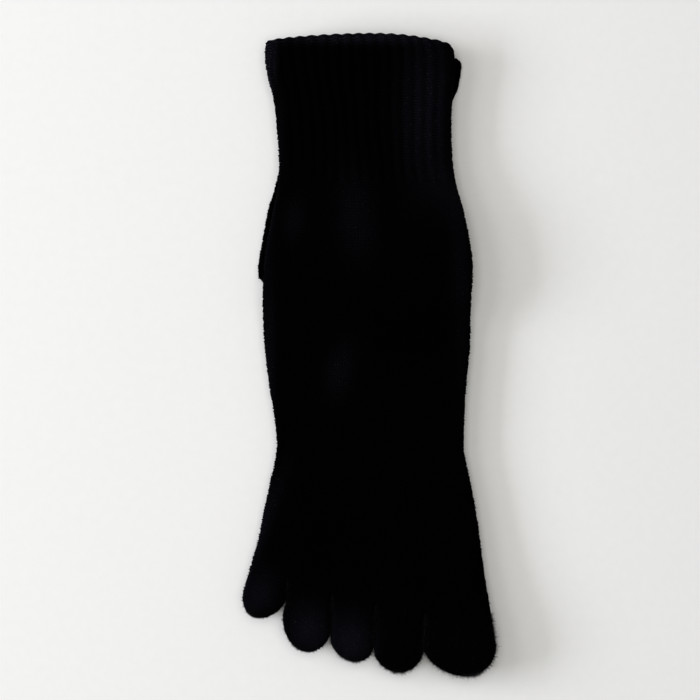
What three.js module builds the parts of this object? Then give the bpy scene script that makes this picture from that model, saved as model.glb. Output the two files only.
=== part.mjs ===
// A pair of five-toe knitted socks in black cotton, laid flat one on the other, sole to sole.
//
// Each sock is a knitted tube pressed flat: a ribbed leg that is open at the top, a plain foot, and
// five closed toe tubes. Its heel pocket lies folded on its back, so both pockets lie between the
// socks and lift the upper one over them. Millimetres: +X across the socks, +Y towards the cuffs,
// +Z up. The origin is on the surface that they lie on, under the middle of the pair.
import * as THREE from 'three';

// Driving dimensions.
const WALL = 1.4; // one layer of plain knit
const HEEL_WALL = 1.1; // one layer of the heel pocket, which is pressed hard
const CLEARANCE = 0.37; // between pieces that lie on each other
const RIBS = 15; // ribs across one face of the leg, about 5.6 mm each
const RIB_RELIEF = 0.7; // how far a rib stands out from the groove beside it
const RIB_FLANK = 0.3; // the share of a rib's width in each of its sloping sides
const RIB_SCALLOP = 0.5; // how far a rib's end stands past the groove's at the top edge
const RIB_END = 82; // where the rib knitting meets the plain foot
const RIB_FADE = 7; // the length over which it dies out
const CROWN = 0.6; // how far the upper sock's top face bulges at its middle
const CROWN_FLATNESS = 4; // the power of the distance from the middle at which that dies out
const TOE_GAP = 0.5; // between neighbouring toes
const CROTCH_WALL = 1.5; // how far the hollow stops short of each crotch, in walls
const SIDE_STEPS = 3; // faces round each folded edge

// Half the thickness of a pressed sock along its length, from its toes to its cuff.
const THICKNESS = [
  { y: -160, half: 2.9 },
  { y: -130, half: 2.9 },
  { y: -108, half: 2.4 },
  { y: -80, half: 2.0 },
  { y: 0, half: 2.0 },
  { y: 90, half: 2.0 },
  { y: 125, half: 2.1 },
  { y: 160, half: 2.5 },
];

// The lines that rows of stitches follow: straight across the leg, and slanting where the foot
// ends, because the big toe is set further down than the little one.
const CUFF_ARCH = { left: 2.9, right: 3.8 }; // how far the top edge curves down at its two ends
const ARCH_TOP = 0.2; // where it is highest, from -1 at the left to 1 at the right
const ARCH_END = 70;
const ROOT = { y: -117.8, slant: -11.5, bow: 5.8, from: -40, gather: 1.5 };

// The toes from the little one to the big one. Root is where a toe ends on its right across the
// foot, as a share of the width. Side is the end of its right side, where it parts from the next
// toe, and tip the end of its round tip. Across and inside are the faces over its outer and inner
// surfaces.
const TOES = [
  { root: 0.136, sideX: -40.2, sideY: -119.2, tipX: -56.9, tipY: -125.1, across: 4, inside: 3 },
  { root: 0.335, sideX: -18.9, sideY: -135.4, tipX: -35.4, tipY: -140.3, across: 5, inside: 3 },
  { root: 0.525, sideX: 1.8, sideY: -140.7, tipX: -9.2, tipY: -146.9, across: 4, inside: 3 },
  { root: 0.741, sideX: 25.7, sideY: -142.1, tipX: 13.8, tipY: -152.4, across: 5, inside: 3 },
  { root: 1, sideX: 59, sideY: -133.5, tipX: 50.1, tipY: -153.5, across: 6, inside: 4 },
];
const LITTLE_TOE_SIDE = { sideX: -57.8, sideY: -107.3 }; // the end of the pair's left side
const OUTER_START = 14; // degrees round the tip at which the pair's own two sides go over into it
const TOE_ROWS = [0.14, 0.55, 1]; // from the root to the start of the tip
const TIP_TURNS = [24, 44, 61, 77]; // degrees round the tip, before its end
const TIP_EDGE = 0.8; // the most that a toe's rounded edge takes of its half width

// The outline seen from above, as the left and right edges along the length.
const UPPER_OUTLINE = [
  { y: 156, left: -44, right: 33 },
  { y: 150, left: -49, right: 37 },
  { y: 147.2, left: -49.8, right: 39.6 },
  { y: 141.4, left: -50, right: 41 },
  { y: 131.8, left: -48.4, right: 40.7 },
  { y: 122.2, left: -46, right: 39.8 },
  { y: 110.2, left: -44.5, right: 39.3 },
  { y: 91, left: -43.3, right: 40 },
  { y: 81.4, left: -43.7, right: 41.7 },
  { y: 69.4, left: -45.8, right: 44.9 },
  { y: 55, left: -48.6, right: 47.9 },
  { y: 41.5, left: -50.4, right: 49.5 },
  { y: 26.2, left: -51.1, right: 48.7 },
  { y: 4.6, left: -50.4, right: 48.4 },
  { y: -17, left: -47.8, right: 46.4 },
  { y: -31.4, left: -45.4, right: 45.7 },
  { y: -45.8, left: -44.5, right: 45.5 },
  { y: -60.2, left: -47.3, right: 48.3 },
  { y: -74.6, left: -50.6, right: 51.1 },
  { y: -89, left: -53.4, right: 53.2 },
  { y: -103.4, left: -57.6, right: 54.9 },
  { y: -117.8, left: -61, right: 57.2 },
  { y: -137, left: -61.4, right: 60.3 },
];
const LOWER_OUTLINE = [
  { y: 147, left: -44, right: 40.6 },
  { y: 142.4, left: -44.7, right: 42.4 },
  { y: 139.6, left: -45.1, right: 44.3 },
  { y: 132, left: -44.9, right: 43.4 },
  { y: 126.5, left: -44.3, right: 42 },
  { y: 121, left: -43.9, right: 39.9 },
  { y: 112, left: -43.4, right: 38 },
  { y: 91, left: -43, right: 37.4 },
  { y: 81.4, left: -45.2, right: 38.6 },
  { y: 69.4, left: -48.7, right: 41 },
  { y: 55, left: -51.4, right: 44.4 },
  { y: 45.4, left: -53.2, right: 46.6 },
  { y: 40.6, left: -53.7, right: 47 },
  { y: 37, left: -53.1, right: 47 },
  { y: 33.6, left: -50.8, right: 46.8 },
  { y: 26.2, left: -49, right: 46.5 },
  { y: 4.6, left: -48.2, right: 46 },
  { y: -17, left: -46, right: 44.2 },
  { y: -45.8, left: -42.9, right: 43.4 },
  { y: -60.2, left: -45.6, right: 45.6 },
  { y: -74.6, left: -48.6, right: 48.5 },
  { y: -89, left: -51.6, right: 51 },
  { y: -103.4, left: -55.6, right: 53 },
  { y: -117.8, left: -58.8, right: 55.5 },
  { y: -137, left: -59.2, right: 58.9 },
];

// The heel pockets: x is the middle of each, fold the line along its lower edge, halfWidth and deep
// the size of the half oval that it makes.
const LOWER_HEEL = { x: -3.4, fold: 36.2, halfWidth: 49.9, deep: 35 };
const UPPER_HEEL = { x: -0.5, fold: 39, halfWidth: 49, deep: 34 };
const HEEL_THICKNESS = 2 * HEEL_WALL + CLEARANCE;
const HEEL_SHORTEST = 1.6; // how far its layers run past the fold at its two corners
const HEEL_STEPS = 14;

// How the upper sock comes down round the pockets under it. Lip is how far it bulges past their
// folds, and margin how far past their outline it keeps its height. Slope is the length over which
// it comes down in the middle, edgeSlope at the sides, and dome how much more it rises in between.
const LIFT = {
  x: -1.9,
  y: 37.5,
  halfWidth: 52,
  deep: 37,
  lip: 14,
  margin: 2,
  slope: 34,
  edgeSlope: 28,
  height: 2 * (HEEL_THICKNESS + CLEARANCE),
  dome: 1.4,
};

// Shift is how far a sock's toes lie from the upper one's, and tuck how far in its two sides end.
const UPPER = {
  outline: UPPER_OUTLINE,
  rim: 153.2,
  shift: { x: 0, y: 0 },
  tuck: 0,
  ribbedUnderneath: true,
  crown: CROWN,
  ribRows: [150.4, 143, 127, 110, 102, 95, 87],
  footRows: [
    79, 75.5, 70, 64, 58, 52, 46, 41, 36, 31, 26, 21,
    16, 11, 6, 0, -7, -16, -28, -42, -60, -78, -95, -107,
  ],
};
const LOWER = {
  outline: LOWER_OUTLINE,
  rim: 146.2,
  shift: { x: 1.1, y: 1.4 },
  tuck: 2,
  ribbedUnderneath: false,
  crown: 0,
  ribRows: [143.4, 135, 122, 108, 95, 87],
  footRows: [79, 68, 57, 48, 42, 37, 32, 22, 5, -14, -30, -44, -60, -78, -95, -107],
};

// A column of a table at a place along the socks, on a smooth curve through the table's rows.
function along(table, column, y) {
  const rows = table[0].y > table[table.length - 1].y ? table : [...table].reverse();
  const last = rows.length - 1;
  if (y >= rows[0].y) return rows[0][column];
  if (y <= rows[last].y) return rows[last][column];
  const i = rows.findIndex((row) => row.y <= y) - 1;
  const slope = (k) => {
    const above = rows[Math.max(k - 1, 0)];
    const below = rows[Math.min(k + 1, last)];
    return (below[column] - above[column]) / (below.y - above.y);
  };
  const from = rows[i];
  const to = rows[i + 1];
  const span = to.y - from.y;
  const t = (y - from.y) / span;
  return (
    from[column] * (1 + 2 * t) * (1 - t) ** 2 +
    to[column] * t * t * (3 - 2 * t) +
    slope(i) * span * t * (1 - t) ** 2 -
    slope(i + 1) * span * t * t * (1 - t)
  );
}

// Rises smoothly from 0 to 1 as x goes from one value to the other.
function rise(x, from, to) {
  const t = THREE.MathUtils.clamp((x - from) / (to - from), 0, 1);
  return t * t * (3 - 2 * t);
}

// The height of the rib pattern at u, which runs from -1 to 1 across the leg: 1 on a rib, and 0 in
// the groove between two.
function ribShape(u) {
  const phase = (((u + 1) / 2) * RIBS) % 1;
  return THREE.MathUtils.clamp(Math.min(phase, 1 - phase) / RIB_FLANK, 0, 1);
}

function ribStrength(y) {
  return rise(y, RIB_END - RIB_FADE / 2, RIB_END + RIB_FADE / 2);
}

function halfThickness(y) {
  return along(THICKNESS, 'half', y);
}

// The top of the lower sock, which is flat from side to side.
function lowerTop(y) {
  return 2 * halfThickness(y) + RIB_RELIEF * ribStrength(y);
}

// How far the heel pockets lift the cloth over them: all the way inside their outline, with a low
// dome, and less and less outside it, by the distance past the outline as seen from its middle.
function heelLift(x, y) {
  const dx = x - LIFT.x;
  const dy = y - LIFT.y;
  const reach = Math.hypot(dx / LIFT.halfWidth, dy / (dy > 0 ? LIFT.deep : LIFT.lip));
  const beyond = reach > 1 ? Math.hypot(dx, dy) * (1 - 1 / reach) : 0;
  const side = Math.min(1, (dx / LIFT.halfWidth) ** 2);
  const slope = THREE.MathUtils.lerp(LIFT.slope, LIFT.edgeSlope, side);
  const dome = LIFT.dome * Math.max(0, 1 - reach ** 2) ** 2;
  return LIFT.height * (1 - rise(beyond, LIFT.margin, LIFT.margin + slope)) + dome;
}

// The middle of a sock's thickness at a place, over the surface or the pieces that it rests on.
function middleHeight(sock, x, y) {
  if (sock === LOWER) return halfThickness(y);
  const rest = lowerTop(y) + CLEARANCE + heelLift(x, y);
  return rest + RIB_RELIEF * ribStrength(y) + halfThickness(y);
}

// A point's place along the sock on the row of stitches whose middle is at y.
function rowPlace(y, u) {
  const leftward = u < ARCH_TOP;
  const side = (u - ARCH_TOP) / (leftward ? 1 + ARCH_TOP : 1 - ARCH_TOP);
  const depth = leftward ? CUFF_ARCH.left : CUFF_ARCH.right;
  const arch = depth * side * side * rise(y, ARCH_END, UPPER.rim);
  const bend = ROOT.from > y ? ((ROOT.from - y) / (ROOT.from - ROOT.y)) ** ROOT.gather : 0;
  return y - arch + bend * (ROOT.slant * u + ROOT.bow * u * u);
}

// The two folded edges on a row of stitches, moved in by the wall for the inside.
function rowEnds(sock, y, inset) {
  const leftY = rowPlace(y, -1);
  const rightY = rowPlace(y, 1);
  return {
    left: along(sock.outline, 'left', leftY) + inset,
    right: along(sock.outline, 'right', rightY) - inset,
    leftY,
    rightY,
  };
}

// A closed ring of points round a flat tube: its upper face from left to right, the right edge, its
// lower face from right to left, and the left edge. Each point has its share of the way round, in
// quarters, so that rings with different numbers of points can be joined.
function flatRing(upper, lower, side) {
  const ring = [];
  const addEdge = (quarter, edge) => {
    for (let k = 1; k < SIDE_STEPS; k += 1) {
      ring.push({ at: quarter + k / SIDE_STEPS, edge, turn: k / SIDE_STEPS });
    }
  };
  upper.forEach((u) => ring.push({ at: (u + 1) / 2, face: 1, u }));
  addEdge(1, 1);
  [...lower].reverse().forEach((u) => ring.push({ at: 2 + (1 - u) / 2, face: -1, u }));
  addEdge(3, -1);
  return ring.map((point) => ({ at: point.at, place: side(point) }));
}

// One row of stitches round the leg or foot.
function bodyRing(sock, y, inset, upper, lower) {
  const ends = rowEnds(sock, y, inset);
  const outside = inset === 0;
  const atRim = y === sock.rim && outside;
  return flatRing(upper, lower, ({ face, edge, u, turn }) => {
    const half = (place) => halfThickness(place) - inset;
    if (edge) {
      const right = edge > 0;
      const place = right ? ends.rightY : ends.leftY;
      const radius = half(place);
      const angle = Math.PI * (right ? 0.5 - turn : 1.5 - turn);
      const centre = right ? ends.right - radius : ends.left + radius;
      const middle = middleHeight(sock, centre, place);
      return [centre + radius * Math.cos(angle), place, middle + radius * Math.sin(angle)];
    }
    let place = rowPlace(y, u);
    const leftInner = ends.left + half(ends.leftY);
    const rightInner = ends.right - half(ends.rightY);
    const x = THREE.MathUtils.lerp(leftInner, rightInner, (u + 1) / 2);
    if (atRim) place += RIB_SCALLOP * ribShape(u);
    let height = half(place) + (face > 0 ? sock.crown * (1 - u ** CROWN_FLATNESS) : 0);
    if (outside && (face > 0 || sock.ribbedUnderneath)) {
      height += RIB_RELIEF * ribShape(u) * ribStrength(place);
    }
    return [x, place, middleHeight(sock, x, place) + face * height];
  });
}

// The place where a toe's boundary meets the foot.
function rootPoint(sock, share, inset, y) {
  const u = 2 * share - 1;
  const ends = rowEnds(sock, y, inset);
  const place = rowPlace(y, u);
  if (share === 0) return [ends.left, ends.leftY];
  if (share === 1) return [ends.right, ends.rightY];
  const leftInner = ends.left + halfThickness(ends.leftY) - inset;
  const rightInner = ends.right - halfThickness(ends.rightY) + inset;
  return [THREE.MathUtils.lerp(leftInner, rightInner, share), place];
}

// The middle of a toe's tip, where its two sides end, half the way from its left end to its right
// one, and the way from the middle to the tip's end. Neighbouring sides keep half the gap each.
function toeTip(sock, index, inset) {
  const toe = TOES[index];
  const before = index ? TOES[index - 1] : LITTLE_TOE_SIDE;
  const inner = TOE_GAP / 2 + inset;
  const outer = sock.tuck + inset;
  const left = new THREE.Vector2(before.sideX, before.sideY);
  const right = new THREE.Vector2(toe.sideX, toe.sideY);
  left.x += index ? sock.shift.x + inner : outer;
  right.x += index < TOES.length - 1 ? sock.shift.x - inner : -outer;
  const middle = left.clone().add(right).multiplyScalar(0.5);
  const half = right.clone().sub(left).multiplyScalar(0.5);
  const reach = new THREE.Vector2(toe.tipX + sock.shift.x, toe.tipY).sub(middle);
  reach.setLength(reach.length() - inset);
  middle.y += sock.shift.y;
  return { middle, half, reach };
}

// One ring round a toe, at t from its root, 0, to the start of its tip, 1, and then at a turn round
// the tip, which is half an ellipse. The toe's sides start as the upright line that it shares with
// its neighbour, and round off as they part.
function toeRing(sock, index, t, turn, inset, rootY, across) {
  const first = index === 0;
  const last = index === TOES.length - 1;
  const { middle, half, reach } = toeTip(sock, index, inset);
  const apart = rise(t, 0, TOE_ROWS[0]) * (TOE_GAP / 2 + inset);
  const side = (sign, outer) => {
    const share = sign > 0 ? TOES[index].root : (TOES[index - 1]?.root ?? 0);
    const root = rootPoint(sock, share, inset, rootY);
    const degrees = outer ? THREE.MathUtils.lerp(OUTER_START, 90, turn / 90) : turn;
    const angle = THREE.MathUtils.degToRad(degrees);
    const end = middle
      .clone()
      .addScaledVector(half, sign * Math.cos(angle))
      .addScaledVector(reach, Math.sin(angle));
    // The gap opens at once, and the end of the side already holds it.
    const moved = outer ? 0 : sign * apart * (1 - t);
    const x = THREE.MathUtils.lerp(root[0], end.x, t) - moved;
    return [x, THREE.MathUtils.lerp(root[1], end.y, t)];
  };
  const left = side(-1, first);
  const right = side(1, last);
  const angle = THREE.MathUtils.degToRad(turn);
  const tipLength = reach.length();
  const out = tipLength * Math.sin(angle);
  const narrow = half.length() * Math.cos(angle);
  const rounding = rise(t, 0, TOE_ROWS[1]);
  const full = halfThickness((left[1] + right[1]) / 2) - inset;
  const fallOff = Math.max(0, (out - (tipLength - full)) / full);
  const closing = Math.sqrt(Math.max(0, 1 - fallOff ** 2));
  const radius = (y) => (halfThickness(y) - inset) * closing;
  const depth = (outer) => Math.min(full * closing * (outer ? 1 : rounding), narrow * TIP_EDGE);
  const columns = Array.from({ length: across + 1 }, (_, k) => (2 * k) / across - 1);
  // The whole ring stands on the line from its left side to its right one.
  const start = new THREE.Vector2(...left);
  const line = new THREE.Vector2(...right).sub(start);
  const width = line.length();
  line.normalize();
  const place = (run, share) => {
    const { x, y } = start.clone().addScaledVector(line, run);
    return [x, y, middleHeight(sock, x, y) + share * radius(y)];
  };
  return flatRing(columns, columns, ({ face, edge, u, turn: round }) => {
    if (edge) {
      const a = Math.PI * (0.5 - round) * edge;
      const inward = depth(edge > 0 ? last : first) * (1 - Math.cos(a));
      return place(edge > 0 ? width - inward : inward, Math.sin(a));
    }
    return place(THREE.MathUtils.lerp(depth(first), width - depth(last), (u + 1) / 2), face);
  });
}

// A body that is put together ring by ring.
class Skin {
  constructor() {
    this.points = [];
    this.faces = [];
  }

  add(place) {
    this.points.push(...place);
    return this.points.length / 3 - 1;
  }

  ring(points) {
    return points.map(({ at, place }) => ({ at, id: this.add(place) }));
  }

  face(a, b, c, inward) {
    if (inward) this.faces.push(a, c, b);
    else this.faces.push(a, b, c);
  }

  // Joins two rings, whether or not they have as many points, by their shares of the way round.
  join(a, b, inward = false) {
    let i = 0;
    let j = 0;
    const shareOf = (ring, k) => (k < ring.length ? ring[k].at : 4);
    const idOf = (ring, k) => ring[k % ring.length].id;
    while (i < a.length || j < b.length) {
      const stepA = j >= b.length || (i < a.length && shareOf(a, i + 1) <= shareOf(b, j + 1));
      if (stepA) {
        this.face(idOf(a, i), idOf(b, j), idOf(a, i + 1), inward);
        i += 1;
      } else {
        this.face(idOf(a, i), idOf(b, j), idOf(b, j + 1), inward);
        j += 1;
      }
    }
  }

  close(ring, end, inward = false) {
    ring.forEach((point, k) => {
      this.face(point.id, end, ring[(k + 1) % ring.length].id, inward);
    });
  }

  geometry() {
    const made = new THREE.BufferGeometry();
    made.setAttribute('position', new THREE.Float32BufferAttribute(this.points, 3));
    made.setIndex(this.faces);
    made.computeVertexNormals();
    return made;
  }
}

// The columns across the plain foot, so many for each toe, that end on the toes' boundaries.
function plainColumns(perToe) {
  const columns = [-1];
  TOES.forEach((toe, k) => {
    const from = k ? TOES[k - 1].root : 0;
    for (let step = 1; step <= perToe[k]; step += 1) {
      columns.push(2 * THREE.MathUtils.lerp(from, toe.root, step / perToe[k]) - 1);
    }
  });
  return columns;
}

// The columns across a ribbed face: three for each rib, in its groove and at the two sides of its top.
function ribColumns() {
  const columns = [];
  for (let rib = 0; rib < RIBS; rib += 1) {
    [0, RIB_FLANK, 1 - RIB_FLANK].forEach((offset) => columns.push((2 * (rib + offset)) / RIBS - 1));
  }
  return [...columns, 1];
}

// One surface of a sock, from its first ring at the mouth to the ends of its toes.
function sockSurface(skin, sock, inset, perToe, ribbedUpper, ribbedLower) {
  const inward = inset > 0;
  const plain = plainColumns(perToe);
  const rootY = ROOT.y + CROTCH_WALL * inset;
  const upper = ribbedUpper ? ribColumns() : plain;
  const lower = ribbedLower ? ribColumns() : plain;
  const mouth = skin.ring(bodyRing(sock, sock.rim, inset, upper, lower));
  let previous = mouth;
  const next = (y, top, bottom) => {
    const ring = skin.ring(bodyRing(sock, y, inset, top, bottom));
    skin.join(previous, ring, inward);
    previous = ring;
  };
  sock.ribRows.forEach((y) => next(y, upper, lower));
  sock.footRows.forEach((y) => next(y, plain, plain));
  next(rootY, plain, plain);

  // The last ring of the foot is shared out among the toes.
  const count = plain.length;
  const top = previous.slice(0, count);
  const rightEdge = previous.slice(count, count + SIDE_STEPS - 1);
  const bottom = previous.slice(count + SIDE_STEPS - 1, 2 * count + SIDE_STEPS - 1);
  const leftEdge = previous.slice(2 * count + SIDE_STEPS - 1);
  let start = 0;
  let nearSide = leftEdge;
  TOES.forEach((toe, index) => {
    const across = perToe[index];
    const end = start + across;
    const last = index === TOES.length - 1;
    const template = toeRing(sock, index, 0, 0, inset, rootY, across);
    const crotch = last
      ? rightEdge
      : skin.ring(template.slice(across + 1, across + SIDE_STEPS));
    const root = [
      ...top.slice(start, end + 1),
      ...crotch,
      ...bottom.slice(count - 1 - end, count - start),
      ...(index ? [...nearSide].reverse() : nearSide),
    ].map((point, k) => ({ at: template[k].at, id: point.id }));
    previous = root;
    const ringAt = (t, turn) => {
      const ring = skin.ring(toeRing(sock, index, t, turn, inset, rootY, across));
      skin.join(previous, ring, inward);
      previous = ring;
    };
    TOE_ROWS.forEach((t) => ringAt(t, 0));
    TIP_TURNS.forEach((turn) => ringAt(1, turn));
    const tip = toeRing(sock, index, 1, 90, inset, rootY, across);
    skin.close(previous, skin.add(tip[0].place), inward);
    start = end;
    nearSide = crotch;
  });
  return mouth;
}

// A whole sock: its outside, its inside, and the rim at the mouth that joins them.
function sockGeometry(sock) {
  const skin = new Skin();
  const outsidePerToe = TOES.map((toe) => toe.across);
  const insidePerToe = TOES.map((toe) => toe.inside);
  const outer = sockSurface(skin, sock, 0, outsidePerToe, true, sock.ribbedUnderneath);
  const inner = sockSurface(skin, sock, WALL, insidePerToe, false, false);
  skin.join(inner, outer);
  return skin.geometry();
}

// A heel pocket: two layers joined by a fold along their lower edge, longest in the middle and
// running out at both corners, where it meets the sock's own folded edges.
function heelGeometry(heel, bottom) {
  const skin = new Skin();
  const radius = HEEL_THICKNESS / 2;
  const slot = CLEARANCE / 2;
  const height = bottom + radius;
  const foldTurns = [90, 45, 0, -45, -90];
  const section = (x, top) => {
    const fold = heel.fold + radius;
    const round = foldTurns.map((degrees) => {
      const angle = THREE.MathUtils.degToRad(degrees);
      return [x, fold - radius * Math.cos(angle), height + radius * Math.sin(angle)];
    });
    return [
      [x, top, height + radius],
      ...round,
      [x, top, height - radius],
      [x, top, height - slot],
      [x, fold, height - slot],
      [x, fold - slot, height],
      [x, fold, height + slot],
      [x, top, height + slot],
    ];
  };
  const rings = [];
  for (let k = 0; k <= HEEL_STEPS; k += 1) {
    const q = -Math.cos((Math.PI * k) / HEEL_STEPS);
    const run = Math.max(heel.deep * Math.sqrt(1 - q * q), HEEL_SHORTEST);
    const points = section(heel.x + heel.halfWidth * q, heel.fold + radius + run);
    rings.push(skin.ring(points.map((place, n) => ({ at: (4 * n) / points.length, place }))));
  }
  for (let k = 0; k < HEEL_STEPS; k += 1) skin.join(rings[k], rings[k + 1], true);
  const outline = section(0, heel.fold + radius + HEEL_SHORTEST).map(([, y, z]) => new THREE.Vector2(y, z));
  THREE.ShapeUtils.triangulateShape(outline, []).forEach(([a, b, c]) => {
    const first = rings[0];
    const last = rings[HEEL_STEPS];
    skin.face(first[a].id, first[b].id, first[c].id, true);
    skin.face(last[a].id, last[b].id, last[c].id, false);
  });
  return skin.geometry();
}

function knit(name, geometry, colour) {
  const material = new THREE.MeshStandardMaterial({ color: colour, roughness: 0.95, metalness: 0 });
  const mesh = new THREE.Mesh(geometry, material);
  mesh.name = name;
  return mesh;
}

const BLACK_COTTON = 0x0b0b0e;
const BLACK_HEEL = 0x0a0a0c;
const heelRest = lowerTop(LOWER_HEEL.fold) + CLEARANCE;

const pair = new THREE.Group();
pair.add(
  knit('lower_sock', sockGeometry(LOWER), BLACK_COTTON),
  knit('lower_heel', heelGeometry(LOWER_HEEL, heelRest), BLACK_HEEL),
  knit('upper_heel', heelGeometry(UPPER_HEEL, heelRest + HEEL_THICKNESS + CLEARANCE), BLACK_HEEL),
  knit('upper_sock', sockGeometry(UPPER), BLACK_COTTON),
);

// The pair is set down with its middle over the origin.
const box = new THREE.Box3().setFromObject(pair);
const middle = box.getCenter(new THREE.Vector3());
pair.children.forEach((mesh) => mesh.geometry.translate(-middle.x, -middle.y, -box.min.z));

export default pair;
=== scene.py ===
import math

import bmesh
import bpy
import numpy as np
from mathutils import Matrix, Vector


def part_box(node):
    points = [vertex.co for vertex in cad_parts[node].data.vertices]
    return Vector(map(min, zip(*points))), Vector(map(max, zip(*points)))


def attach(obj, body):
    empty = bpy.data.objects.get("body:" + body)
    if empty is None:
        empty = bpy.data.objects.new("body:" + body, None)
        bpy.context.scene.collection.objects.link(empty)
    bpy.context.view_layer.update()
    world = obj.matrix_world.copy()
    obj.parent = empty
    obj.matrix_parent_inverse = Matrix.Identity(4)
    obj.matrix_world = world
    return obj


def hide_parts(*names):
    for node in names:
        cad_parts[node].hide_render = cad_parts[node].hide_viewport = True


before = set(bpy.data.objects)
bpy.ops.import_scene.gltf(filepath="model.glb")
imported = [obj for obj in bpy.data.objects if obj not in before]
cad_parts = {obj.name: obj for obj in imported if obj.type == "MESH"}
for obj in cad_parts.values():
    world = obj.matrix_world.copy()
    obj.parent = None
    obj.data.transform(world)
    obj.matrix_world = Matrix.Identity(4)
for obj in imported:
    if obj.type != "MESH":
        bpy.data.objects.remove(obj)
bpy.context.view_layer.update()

# The camera looks straight down on the pair, as the photograph does, from far enough off that the
# folded edges show no slant. The photograph gives its frame: one pixel covers 0.48 mm of cloth.
PHOTO_WIDTH = 700
PIXEL = 0.00048
PAIR_AT = (369, 354.5)  # the pixel under which the middle of the pair lies
LENS = 135  # millimetres, as is the sensor
SENSOR = 36
EDGE_HEIGHT = 0.0066  # of the upper sock's folded edges, which give the outline


def placed(name, data):
    """A new object with this data, in the scene."""
    made = bpy.data.objects.new(name, data)
    bpy.context.scene.collection.objects.link(made)
    return made


camera = placed("camera", bpy.data.cameras.new("camera"))
camera.data.lens = LENS
camera.data.sensor_width = SENSOR
camera.location = (
    (PHOTO_WIDTH / 2 - PAIR_AT[0]) * PIXEL,
    (PAIR_AT[1] - PHOTO_WIDTH / 2) * PIXEL,
    EDGE_HEIGHT + PHOTO_WIDTH * PIXEL * LENS / SENSOR,
)
bpy.context.scene.camera = camera

# The floor is a plain pale board in a bright room. A broad window stands low on the left, so each
# edge on the right throws a soft shadow three or four centimetres long. The pale ceiling and the
# walls fill that shadow in, and are a little warmer than the window.
FLOOR_SIZE = 3.0
FLOOR_DEPTH = 0.00003  # just under the cloth
BOARD_DARK = (0.843, 0.843, 0.843, 1)
BOARD_LIGHT = (0.877, 0.877, 0.877, 1)
BOARD_GRAIN = 220.0  # per metre
BOARD_GRAIN_DETAIL = 3
BOARD_SURFACE = {"Roughness": 1.0, "Specular IOR Level": 0.0}
ROOM_STRENGTH = 0.235
COOL = (0.93, 0.947, 1)
NEUTRAL = (1, 1, 1)
WARM = (1, 0.985, 0.94)

# Each lamp: name, watts, colour, width and height, distance, angle above the floor, turn from
# straight left towards the cuffs.
LAMPS = (
    ("window_light", 70.6, COOL, (1.78, 0.68), 2.6, 17, 0),
    ("upper_window_light", 10.2, NEUTRAL, (1.3, 1.0), 1.9, 34, 20),
    ("ceiling_light", 13.8, WARM, (1.5, 1.5), 1.8, 86, 90),
)


def feed(tree, inputs, values):
    """Gives each input its value, or links it to the output of another node."""
    for socket, value in values.items():
        if isinstance(value, bpy.types.NodeSocket):
            tree.links.new(value, inputs[socket])
        else:
            inputs[socket].default_value = value


def bare_material(name, surface):
    """A new material whose shader has these values, with its node tree, its shader's inputs and
    the place on its object."""
    material = bpy.data.materials.new(name)
    material.use_nodes = True
    tree = material.node_tree
    shader = tree.nodes["Principled BSDF"].inputs
    feed(tree, shader, surface)
    return material, tree, shader, tree.nodes.new("ShaderNodeTexCoord").outputs["Object"]


def soft_noise(tree, place, scale, detail=2, roughness=0.5):
    """Noise from 0 to 1 at a place, with about so many humps a metre."""
    node = tree.nodes.new("ShaderNodeTexNoise")
    values = {"Vector": place, "Scale": scale, "Detail": detail, "Roughness": roughness}
    feed(tree, node.inputs, values)
    return node.outputs["Fac"]


def mixed(tree, kind, factor, first, second):
    """The first value at factor 0 and the second at 1."""
    node = tree.nodes.new("ShaderNodeMix")
    node.data_type = kind
    feed(tree, node.inputs, {"Factor": factor, "A": first, "B": second})
    return node.outputs["Result"]


half_floor = FLOOR_SIZE / 2
floor_corners = ((-1, -1), (1, -1), (1, 1), (-1, 1))
floor_mesh = bpy.data.meshes.new("floor")
floor_mesh.from_pydata(
    [(x * half_floor, y * half_floor, -FLOOR_DEPTH) for x, y in floor_corners], [], [(0, 1, 2, 3)]
)
floor = placed("floor", floor_mesh)

board, board_tree, board_shader, board_place = bare_material("pale_board", BOARD_SURFACE)
grain = soft_noise(board_tree, board_place, BOARD_GRAIN, BOARD_GRAIN_DETAIL)
board_tone = mixed(board_tree, "RGBA", grain, BOARD_DARK, BOARD_LIGHT)
feed(board_tree, board_shader, {"Base Color": board_tone})
floor_mesh.materials.append(board)

room = bpy.data.worlds.new("pale_room")
room.use_nodes = True
room_light = {"Color": (*WARM, 1), "Strength": ROOM_STRENGTH}
feed(room.node_tree, room.node_tree.nodes["Background"].inputs, room_light)
bpy.context.scene.world = room
bpy.context.scene.view_settings.view_transform = "Standard"

for name, watts, colour, size, distance, angle, turn in LAMPS:
    lamp = placed(name, bpy.data.lights.new(name, "AREA"))
    lamp.data.shape = "RECTANGLE"
    lamp.data.size, lamp.data.size_y = size
    lamp.data.energy = watts
    lamp.data.color = colour
    level = distance * math.cos(math.radians(angle))
    lamp.location = (
        -level * math.cos(math.radians(turn)),
        level * math.sin(math.radians(turn)),
        distance * math.sin(math.radians(angle)),
    )
    lamp.rotation_mode = "QUATERNION"
    lamp.rotation_quaternion = (-lamp.location).to_track_quat("-Z", "Y")
    lamp.visible_camera = False

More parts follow.
